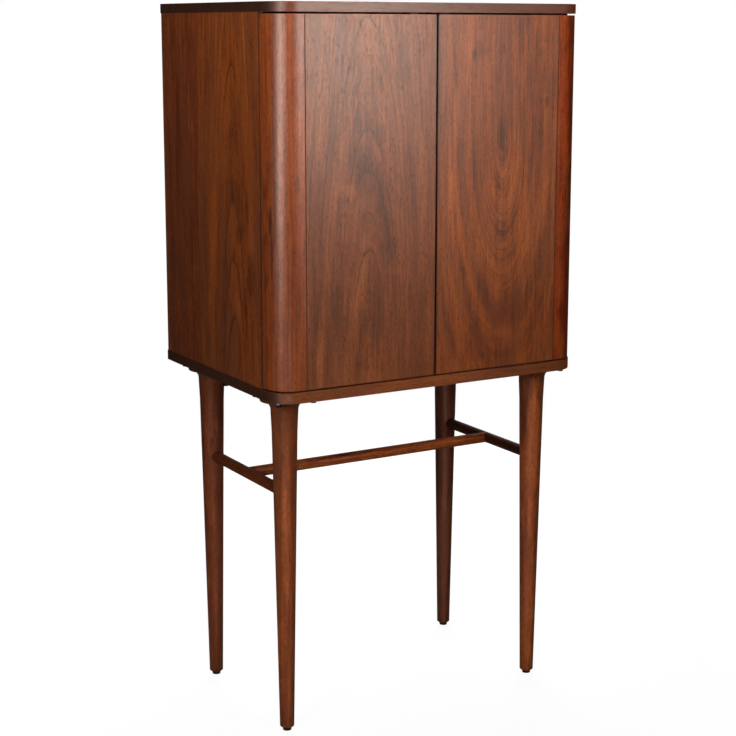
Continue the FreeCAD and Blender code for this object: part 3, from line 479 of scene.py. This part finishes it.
def moulded(name, colour, roughness):
    """Moulded plastic with a fine spark-eroded texture, paler where it is scuffed."""
    material, tree = new_material(name)
    point = at_surface(tree)
    grit = cloud(tree, point, (1500, 1500, 1500), 2.0)
    scuff = cloud(tree, point, (90, 90, 90), 3.0)
    pale = tuple(min(1.0, c * 1.5 + 0.01) for c in colour[:3]) + (1.0,)
    shade = stain(tree, ease(tree, scuff, 0.5, 0.8, 0.0, 0.6), colour, pale)
    rough = sway(tree, scuff, 0.2, roughness)
    finish_surface(tree, shade, rough, grit, 0.00004, Specular_IOR_Level=0.4)
    return material


dress(moulded("black_nylon", linear(22, 21, 20), 0.5), "foot_glides")


# ---------------------------------------------------------------- legs and stretchers
# Turned walnut legs that taper to the foot, with a round flange at the top, and round
# stretchers tenoned between them. The sticks are redder than the veneer. Their wood is painted
# in lighter and darker copies for the light each stick gets: painted shade on the rear legs
# and the side stretchers, deepest on the right stretcher, and painted light on the long
# stretcher. A pale band up the middle of each leg, brighter higher up, is a painted highlight.

# lighter and darker copies of the sticks' wood: painted light and shade for how much light each stick gets
DEEPEST_SHADE_STICK = dict(Deep=linear(30, 13, 7), Body=linear(50, 22, 10), Light=linear(70, 32, 15))
SHADE_STICK = dict(Deep=linear(46, 20, 9), Body=linear(76, 33, 14), Light=linear(100, 48, 21))
HALF_SHADE_STICK = dict(Deep=linear(72, 30, 13), Body=linear(98, 44, 19), Light=linear(128, 63, 28))
USUAL_STICK = dict(Deep=linear(72, 30, 13), Body=linear(112, 52, 20), Light=linear(144, 74, 31))
LIT_STICK = dict(Deep=linear(72, 30, 13), Body=linear(142, 68, 27), Light=linear(172, 90, 40))
STICK_GRAIN = dict(Wander=0.02, Cast_Share=0.3, Ring_Mark=0.4, Mottle=0.8)
LEG_SHINE = 0.42
STRETCHER_SHINE = 0.15
# each leg's copy of the wood, painted lighter or darker for its light, and its painted highlight band:
# shift from the leg's middle, half width, share
LEGS = {"leg_front_left": (USUAL_STICK, -0.007, 0.012, 0.55),
        "leg_front_right": (USUAL_STICK, -0.008, 0.017, 1.0),
        "leg_rear_left": (HALF_SHADE_STICK, -0.012, 0.012, 0.5),
        "leg_rear_right": (SHADE_STICK, -0.008, 0.012, 0.4)}
# each stretcher's copy of the wood, painted lighter or darker for its light, and how its grain lies
STRETCHERS = {"long_stretcher": (LIT_STICK, LENGTHWAYS),
              "left_side_stretcher": (HALF_SHADE_STICK, FRONT_TO_BACK),
              "right_side_stretcher": (DEEPEST_SHADE_STICK, FRONT_TO_BACK)}
# a pale tint up the middle of each leg: painted highlight where the front light falls
LEG_PAINTED_HIGHLIGHT = (2.1, 2.1, 2.0, 1)
# the painted highlight shows twice up a leg, brighter higher up: its height, and how much of its share it
# keeps there
LEG_HIGHLIGHT_HEIGHTS = ((0.16, 0.6), (0.46, 1.0))
LEG_HIGHLIGHT_HALF_TALL = 0.20
PIN_KNOTS = (
    (-0.287, 0.492, 0.004, 0.012, 0.5, KNOT_HEART, 0.7),
    (-0.281, 0.515, 0.003, 0.010, 0.5, KNOT_HEART, 0.6),
    (0.279, 0.430, 0.004, 0.010, 0.5, KNOT_HEART, 0.7))


def turned_leg(name, middle, patches, **look):
    """A leg's oiled walnut, with the pith beside and in front of the leg, and its patches laid in: a
    painted highlight band, and knots on the rear legs.
    """
    material, tree = new_material(name)
    wood = figured(tree, UPRIGHT, Pith_Across=middle.x + 0.02, Pith_Depth=0.06 - middle.y, Slope=0.03,
                   **STICK_GRAIN, **look)
    oiled(tree, patched(tree, wood, UPRIGHT, patches), shine=LEG_SHINE)
    return material


for number, (leg, (shades, shift, half_wide, share)) in enumerate(LEGS.items()):
    low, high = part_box(leg)
    middle = (low + high) / 2
    # pale bands up the leg's middle: painted highlight
    marks = tuple((middle.x + shift, height, half_wide, LEG_HIGHLIGHT_HALF_TALL, 0.4, LEG_PAINTED_HIGHLIGHT, share * kept)
                  for height, kept in LEG_HIGHLIGHT_HEIGHTS)
    if "rear" in leg:
        marks += PIN_KNOTS
    dress(turned_leg(leg + "_walnut", middle, marks, Seed=11.3 + 1.9 * number, **shades), leg)

for number, (stretcher, (shades, grain)) in enumerate(STRETCHERS.items()):
    dress(wooden(stretcher + "_walnut", grain, Seed=21.7 + 1.3 * number, Pith_Depth=-0.40,
                 shine=STRETCHER_SHINE, **STICK_GRAIN, **shades), stretcher)


# ---------------------------------------------------------------- middle shelf and fold out leaf
# A half-depth shelf with a serving leaf folded on top of it, on two brass back-flap hinges.
# When the doors are open the leaf turns over and lies level on two ledgers.

INSIDE = dict(Body=linear(132, 70, 37), Light=linear(166, 96, 55), Cast_Share=0.25, Streaks=0.5)

dress(wooden("shelf_walnut", LENGTHWAYS, Seed=31.2, Pith_Across=0.12, Pith_Depth=-0.93, Slope=0.03,
             **INSIDE), "middle_shelf")
dress(wooden("leaf_walnut", LENGTHWAYS, Seed=33.5, Pith_Across=0.09, Pith_Depth=-0.95, Slope=0.04,
             **INSIDE), "fold_out_leaf")
dress(wooden("ledger_walnut", FRONT_TO_BACK, Seed=35.1, **INSIDE), "left_leaf_ledger", "right_leaf_ledger")
BRASS = metal("brushed_brass", linear(196, 160, 92), roughness=0.34, brushed=(40, 1400, 1400),
              relief=0.00002)
for side in ("left", "right"):
    dress(BRASS, side + "_leaf_hinge_fixed_flap", side + "_leaf_hinge_moving_flap")
dress(BRASS, "leaf_hinge_pins", "shelf_hinge_screws", "leaf_hinge_screws")


# ---------------------------------------------------------------- stemware rails and bottle grid
# Walnut rails under the top board take hanging glasses by the foot, and thin walnut slats,
# halved over each other, make the cells where the bottles stand.

RAILS = ("stemware_rail_1", "stemware_rail_2", "stemware_rail_3", "stemware_rail_4")
for number, rail in enumerate(RAILS):
    dress(wooden(rail + "_walnut", FRONT_TO_BACK, Seed=41.0 + 1.1 * number, Pith_Depth=-1.2, **INSIDE),
          rail)
dress(wooden("long_slat_walnut", LENGTHWAYS, Seed=46.4, Pith_Depth=-0.62, **INSIDE),
      "bottle_grid_long_slats")
dress(wooden("cross_slat_walnut", FRONT_TO_BACK, Seed=47.9, Pith_Depth=-0.60, **INSIDE),
      "bottle_grid_cross_slats")


# ---------------------------------------------------------------- push latches
# A plastic latch under the top board holds each door and springs it open when it is pushed.
# Its plunger meets a small steel strike plate on the door.

LATCH_PLASTIC = moulded("latch_plastic", linear(70, 62, 56), 0.45)
for side in ("left", "right"):
    dress(LATCH_PLASTIC, side + "_latch_body", side + "_latch_plunger")
    dress(ZINC, side + "_strike_plate")


# ---------------------------------------------------------------- door panels
# Flat veneered panels, lipped along the free edge and glued to a post at the other. The left
# one shows a crown-cut figure, the right one an eye with nested rings. Low down the rings fade.
# Painted shade darkens each free edge, for the gap between the doors. The right door has a
# broad patch of painted light over its middle and painted shade over its lower part.

PANEL_LOW, PANEL_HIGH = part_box("right_door_panel")
FREE_EDGE_X, GLUE_LINE_X = PANEL_LOW.x, PANEL_HIGH.x
# the door's free edge darkens over this width: painted shade for the gap between the doors
FREE_EDGE_SHADE_WIDTH = 0.0022
FREE_EDGE_SHADE_SHARE = 0.75
GLUE_WIDTH = 0.0014
PANEL_GLUE_SHARE = 0.85
GLUE_LOSS = 2.0
FADED_RINGS = 0.2
# a darker tint for the right door's lower part: painted shade
LOW_DOOR_PAINTED_SHADE = (0.86, 0.78, 0.62, 1)
LEFT_DOOR_SHADES = dict(Deep=linear(84, 41, 19), Body=linear(127, 63, 24), Light=linear(152, 82, 38))
LEFT_DOOR_PATCHES = (
    (-0.175, 1.250, 0.020, 0.080, 0.4, DARK_CLOUD, 0.45),
    (-0.122, 1.118, 0.024, 0.026, 0.4, DARK_CLOUD, 0.55),
    (-0.163, 1.062, 0.022, 0.040, 0.5, DARK_CLOUD, 0.75),
    (-0.188, 1.020, 0.026, 0.018, 0.7, PALE_FLAME_AND_PAINTED_LIGHT, 0.5),
    (-0.134, 0.910, 0.007, 0.024, 0.9, PALE_FLAME_AND_PAINTED_LIGHT, 0.7),
    (-0.102, 0.918, 0.026, 0.026, 0.9, DARK_CLOUD, 0.45),
    (-0.092, 0.872, 0.026, 0.010, 0.9, PALE_FLAME_AND_PAINTED_LIGHT, 0.5),
    (-0.166, 0.815, 0.026, 0.040, 0.6, PALE_FLAME_AND_PAINTED_LIGHT, 0.4),
    (-0.058, 0.822, 0.008, 0.034, 0.6, DARK_CLOUD, 0.8),
    (-0.132, 0.779, 0.008, 0.010, 0.5, KNOT_HEART, 0.3),
    (-0.125, 0.726, 0.005, 0.050, 0.6, DARK_CLOUD, 0.7))
RIGHT_DOOR_SHADES = dict(Deep=linear(86, 38, 13), Body=linear(141, 67, 21), Light=linear(166, 85, 30))
RIGHT_DOOR_PATCHES = (
    (0.0786, 1.2584, 0.006, 0.012, 0.3, KNOT_HEART, 0.6),
    (0.088, 1.266, 0.016, 0.022, 0.3, DARK_CLOUD, 0.7),
    (0.2451, 1.1698, 0.005, 0.012, 0.3, KNOT_HEART, 0.7),
    (0.250, 1.200, 0.022, 0.034, 0.4, DARK_CLOUD, 0.5),
    (0.139, 1.104, 0.010, 0.036, 0.4, DARK_CLOUD, 0.8),
    (0.191, 1.117, 0.014, 0.060, 0.6, DARK_CLOUD, 0.7),
    (0.144, 0.924, 0.016, 0.008, 0.2, DARK_CLOUD, 0.6),
    # these two patches are painted light and shade: a broad pale patch over the door's middle, and a
    # darker tint over its lower part
    (0.150, 0.970, 0.150, 0.120, 0.3, PALE_FLAME_AND_PAINTED_LIGHT, 0.55),
    (0.150, 0.735, 0.170, 0.100, 0.3, LOW_DOOR_PAINTED_SHADE, 1.0))


def door_veneer(name, free_edge, patches, rings_fade, ring_mark, **look):
    """A door panel's veneer, with painted shade along its free edge for the gap between the doors. Its
    rings fade downwards between the two heights of rings_fade.
    """
    material, tree = new_material(name)
    place = apart(tree, at_surface(tree))
    low_fade, high_fade = rings_fade
    rings = ease(tree, place["Z"], low_fade, high_fade, ring_mark * FADED_RINGS, ring_mark)
    wood = patched(tree, figured(tree, UPRIGHT, ends=0.0, Ring_Mark=rings, **look), UPRIGHT, patches)
    # painted shade along the free edge, in the gap between the doors
    away = reckon(tree, "ABSOLUTE", reckon(tree, "SUBTRACT", place["X"], free_edge))
    gap_shade = ease(tree, away, FREE_EDGE_SHADE_WIDTH * 0.4, FREE_EDGE_SHADE_WIDTH, FREE_EDGE_SHADE_SHARE, 0.0)
    outwards = reckon(tree, "ABSOLUTE", place["X"])
    glued = ease(tree, outwards, GLUE_LINE_X - GLUE_WIDTH, GLUE_LINE_X - GLUE_WIDTH / 2,
                 0.0, PANEL_GLUE_SHARE)
    dark = reckon(tree, "MAXIMUM", gap_shade, glued)
    oiled(tree, seamed(tree, wood, dark, glued, GLUE_LOSS))
    return material


dress(door_veneer("left_door_veneer", -FREE_EDGE_X, LEFT_DOOR_PATCHES, (0.60, 0.92), 0.85, Seed=18.2,
                  Pith_Across=-0.142, Pith_Depth=0.222, Slope=0.095, Ring_Width=0.0065, Wander=0.014,
                  Ring_Spread=0.16, Streaks=0.8, Fine=1.35, Mottle=0.6, Cast_Share=0.3, Pores=0.7,
                  **LEFT_DOOR_SHADES), "left_door_panel")
dress(door_veneer("right_door_veneer", FREE_EDGE_X, RIGHT_DOOR_PATCHES, (0.76, 0.95), 0.75, Seed=23.9,
                  Pith_Across=0.145, Pith_Depth=0.570, Slope=-0.30, Ring_Width=0.005, Wander=0.012,
                  Ring_Spread=0.09, Streaks=0.85, Fine=1.5, Mottle=0.55, Cast_Share=0.35, Pores=0.7,
                  **RIGHT_DOOR_SHADES), "right_door_panel")


# ---------------------------------------------------------------- corner posts
# A solid walnut post, rounded to a quarter circle and glued to each door panel, so that the
# door wraps the corner. The right one has a redder stripe, and painted shade darkens its far
# edge, which turns away from the lamps. On the left one two pale bands lie under its
# highlights: painted highlight.

POST_SHADES = dict(Deep=linear(78, 30, 11), Body=linear(139, 62, 20), Light=linear(168, 82, 29))
POST_GLOSS = 0.40
LEFT_POST_SHINE = 0.62
RIGHT_POST_SHINE = 0.3
POST_GLUE_SHARE = 0.7
# painted shade for the right post's far edge, which turns away from the lamps
FAR_EDGE_PAINTED_SHADE = (0.55, 0.36, 0.24, 1)
RED_STRIPE = (1.15, 0.85, 0.50, 1)
POST_PATCHES = (
    (-0.3256, 0.975, 0.0016, 0.032, 0.9, KNOT_HEART, 0.8),
    (-0.3245, 0.900, 0.0016, 0.050, 0.9, KNOT_HEART, 0.6),
    # the next two pale bands lie where the left post's highlights fall: painted highlight
    (-0.3110, 1.080, 0.0075, 0.200, 0.4, PALE_FLAME_AND_PAINTED_LIGHT, 0.8),
    (-0.2770, 1.080, 0.0090, 0.220, 0.4, PALE_FLAME_AND_PAINTED_LIGHT, 0.7),
    (-0.288, 1.035, 0.008, 0.018, 0.6, DARK_CLOUD, 0.6),
    (-0.290, 1.300, 0.006, 0.050, 0.6, DARK_CLOUD, 0.7),
    # the next two patches darken the right post's far edge: painted shade
    (0.3275, 0.80, 0.048, 0.36, 0.1, FAR_EDGE_PAINTED_SHADE, 1.0),
    (0.3275, 1.20, 0.048, 0.36, 0.1, FAR_EDGE_PAINTED_SHADE, 1.0),
    (0.282, 0.80, 0.014, 0.30, 0.3, RED_STRIPE, 1.0),
    (0.282, 1.20, 0.014, 0.30, 0.3, RED_STRIPE, 1.0))


def corner_post(name, seed, pith_across, shine):
    """A post's oiled walnut, dark along the glue line, with its patches of figure, painted highlight and
    painted shade.
    """
    material, tree = new_material(name)
    wood = figured(tree, UPRIGHT, Seed=seed, Pith_Across=pith_across, Pith_Depth=0.14, Slope=0.05,
                   Wander=0.03, Streaks=0.45, Mottle=0.8, Cast_Share=0.1, Pores=0.6, **POST_SHADES)
    wood = patched(tree, wood, UPRIGHT, POST_PATCHES)
    outwards = reckon(tree, "ABSOLUTE", apart(tree, at_surface(tree))["X"])
    glued = ease(tree, outwards, GLUE_LINE_X + GLUE_WIDTH / 4, GLUE_LINE_X + GLUE_WIDTH,
                 POST_GLUE_SHARE, 0.0)
    oiled(tree, seamed(tree, wood, glued, glued, GLUE_LOSS), gloss=POST_GLOSS, shine=shine)
    return material


dress(corner_post("left_post_walnut", 61.8, -0.25, LEFT_POST_SHINE), "left_corner_post")
dress(corner_post("right_post_walnut", 64.2, 0.25, RIGHT_POST_SHINE), "right_corner_post")


# ---------------------------------------------------------------- door pivots
# Aged brass pivot leaves screwed to each door turn on pins in plates let into the two boards.

AGED_BRASS = metal("aged_brass", linear(74, 54, 32), roughness=0.5, brushed=(900, 900, 900),
                   relief=0.00002)
for side in ("left", "right"):
    dress(AGED_BRASS, side + "_pivot_leaves", side + "_pivot_plates")


# ---------------------------------------------------------------- door racks
# A shallow walnut tray on the inside of each door, with two cheeks and a brass rod that
# keeps the bottles in.

for number, side in enumerate(("left", "right")):
    dress(wooden(side + "_rack_walnut", LENGTHWAYS, Seed=71.5 + 2.2 * number, Pith_Depth=-0.66, **INSIDE),
          side + "_rack_floor")
    dress(wooden(side + "_cheek_walnut", UPRIGHT_SIDE, Seed=75.3 + 2.2 * number, **INSIDE),
          side + "_rack_cheeks")
    dress(BRASS, side + "_rack_rail")


# ---------------------------------------------------------------- floor and surroundings
# White paper lies under the cabinet and hangs behind it, in a dim room. It keeps the
# cabinet's shadow near the feet. A shine sees the paper behind, dimly, and little of the room.

SWEEP_RADIUS = 1.9
SWEEP_SIDES = 96
WHITE = (1, 1, 1, 1)
PALE_PAPER = (0.14, 0.14, 0.14, 1)
NEAR_GLOW = 0.92
SHADOW_REACH = (0.6, 1.7)
SHINE_REACH = (1.6, 1.85)
ROOM_LIGHT = 0.13
ROOM_IN_SHINE = 0.1
PAPER_IN_SHINE = 0.4
SWEEP_BEHIND = Vector((0.506, 0.862, 0.0))
SWEEP_HANGS = Vector((0.506, 0.862, 0.7)).normalized()
SWEEP_EDGES = (math.cos(math.radians(20)), math.cos(math.radians(13)))


def seen_directly(tree, shine=1.0):
    """1 for what the camera or a glass looks at, shine for a shine, 0 for what only lights."""
    path = tree.nodes.new("ShaderNodeLightPath").outputs
    shining = reckon(tree, "MULTIPLY", path["Is Glossy Ray"], shine)
    looked_at = reckon(tree, "MAXIMUM", path["Is Camera Ray"], shining)
    return reckon(tree, "MAXIMUM", looked_at, path["Is Transmission Ray"])


def how_far_towards(tree, vector, direction):
    """How far a vector reaches in the given direction."""
    return node(tree, "ShaderNodeVectorMath", {"operation": "DOT_PRODUCT"}, i0=vector,
                i1=direction).outputs["Value"]


floor_mesh = bpy.data.meshes.new("floor")
turns = [2 * math.pi * step / SWEEP_SIDES for step in range(SWEEP_SIDES)]
rim = [(SWEEP_RADIUS * math.cos(turn), SWEEP_RADIUS * math.sin(turn), 0) for turn in turns]
floor_mesh.from_pydata(rim, [], [tuple(range(SWEEP_SIDES))])
floor = bpy.data.objects.new("floor", floor_mesh)
bpy.context.scene.collection.objects.link(floor)

sweep, tree = new_material("white_sweep")
point = at_surface(tree)
distance = node(tree, "ShaderNodeVectorMath", {"operation": "LENGTH"}, i0=point).outputs["Value"]
far = ease(tree, distance, *SHADOW_REACH)
behind = how_far_towards(tree, point, SWEEP_BEHIND)
seen = seen_directly(tree, ease(tree, behind, *SHINE_REACH, 0.0, PAPER_IN_SHINE))
glow = reckon(tree, "MULTIPLY", reckon(tree, "MULTIPLY_ADD", far, 1 - NEAR_GLOW, NEAR_GLOW), seen)
paper = node(tree, "ShaderNodeBsdfDiffuse", Color=PALE_PAPER)
glowing = node(tree, "ShaderNodeEmission", Color=WHITE, Strength=glow)
both = node(tree, "ShaderNodeAddShader", i0=paper.outputs[0], i1=glowing.outputs[0])
node(tree, "ShaderNodeOutputMaterial", Surface=both.outputs[0])
floor_mesh.materials.append(sweep)

world = bpy.data.worlds.new("studio")
world.use_nodes = True
world.node_tree.nodes.clear()
tree = world.node_tree
facing = how_far_towards(tree, at_surface(tree, "Generated"), SWEEP_HANGS)
seen = seen_directly(tree, ease(tree, facing, *SWEEP_EDGES, 0.0, PAPER_IN_SHINE))
in_shine = tree.nodes.new("ShaderNodeLightPath").outputs["Is Glossy Ray"]
room = reckon(tree, "MULTIPLY_ADD", in_shine, ROOM_LIGHT * (ROOM_IN_SHINE - 1), ROOM_LIGHT)
around = node(tree, "ShaderNodeBackground", Color=WHITE, Strength=reckon(tree, "MAXIMUM", seen, room))
node(tree, "ShaderNodeOutputWorld", Surface=around.outputs[0])
bpy.context.scene.world = world
bpy.context.scene.view_settings.view_transform = "Standard"


# ---------------------------------------------------------------- lamps
# Four softboxes with honeycombs: a tall one in front, two to the left of the cabinet and a low
# one for the legs. A wide panel high up behind brightens the top.

def softbox(name, place, aim, width, tall, radiance, spread=180):
    """A flat lamp with a honeycomb that keeps its light within the spread, in degrees."""
    lamp = bpy.data.lights.new(name, "AREA")
    lamp.shape = "RECTANGLE"
    lamp.size, lamp.size_y = width, tall
    lamp.spread = math.radians(spread)
    lamp.energy = radiance * math.pi * width * tall
    holder = bpy.data.objects.new(name, lamp)
    holder.location = place
    holder.rotation_euler = (Vector(aim) - holder.location).to_track_quat("-Z", "Y").to_euler()
    holder.visible_camera = False
    bpy.context.scene.collection.objects.link(holder)


softbox("right_softbox", place=(0.53, -1.69, 1.51), aim=(-0.20, -0.24, 1.38), width=0.25, tall=0.89,
        radiance=6.6, spread=84)
softbox("side_softbox", place=(-1.68, -1.04, 0.99), aim=(-0.49, -0.24, 0.96), width=0.41, tall=0.36,
        radiance=12.6, spread=139)
softbox("left_softbox", place=(-1.67, -1.52, 1.27), aim=(-0.47, -0.24, 1.92), width=0.84, tall=0.37,
        radiance=5.95, spread=71)
softbox("low_softbox", place=(-1.0, -1.9, 0.60), aim=(0.0, -0.1, 0.15), width=0.5, tall=0.5,
        radiance=1.5, spread=34)
softbox("rear_panel", place=(0.9, 1.6, 3.2), aim=(0.0, 0.24, 1.0), width=2.0, tall=2.0, radiance=5.0)


# ---------------------------------------------------------------- camera
# A long lens at chest height, left of the cabinet's front.

FRAME_SIDE = 736
FOCAL_PIXELS = 1630.18
LENS_AXIS = (381.26, 320.0)
SENSOR_WIDTH = 36.0
CAMERA_PLACE = (-1.59836, -2.74742, 1.30787)
CAMERA_YAW, CAMERA_PITCH, CAMERA_ROLL = -30.5859, -10.2129, 0.1098

camera_data = bpy.data.cameras.new("camera")
camera_data.sensor_width = SENSOR_WIDTH
camera_data.lens = FOCAL_PIXELS * SENSOR_WIDTH / FRAME_SIDE
camera_data.shift_x = (FRAME_SIDE / 2 - LENS_AXIS[0]) / FRAME_SIDE
camera_data.shift_y = (LENS_AXIS[1] - FRAME_SIDE / 2) / FRAME_SIDE
camera = bpy.data.objects.new("camera", camera_data)
yaw = Matrix.Rotation(math.radians(CAMERA_YAW), 3, "Z")
pitch = Matrix.Rotation(math.radians(90 + CAMERA_PITCH), 3, "X")
roll = Matrix.Rotation(math.radians(CAMERA_ROLL), 3, "Z")
camera.location = CAMERA_PLACE
camera.rotation_euler = (yaw @ pitch @ roll).to_euler()
bpy.context.scene.collection.objects.link(camera)
bpy.context.scene.camera = camera
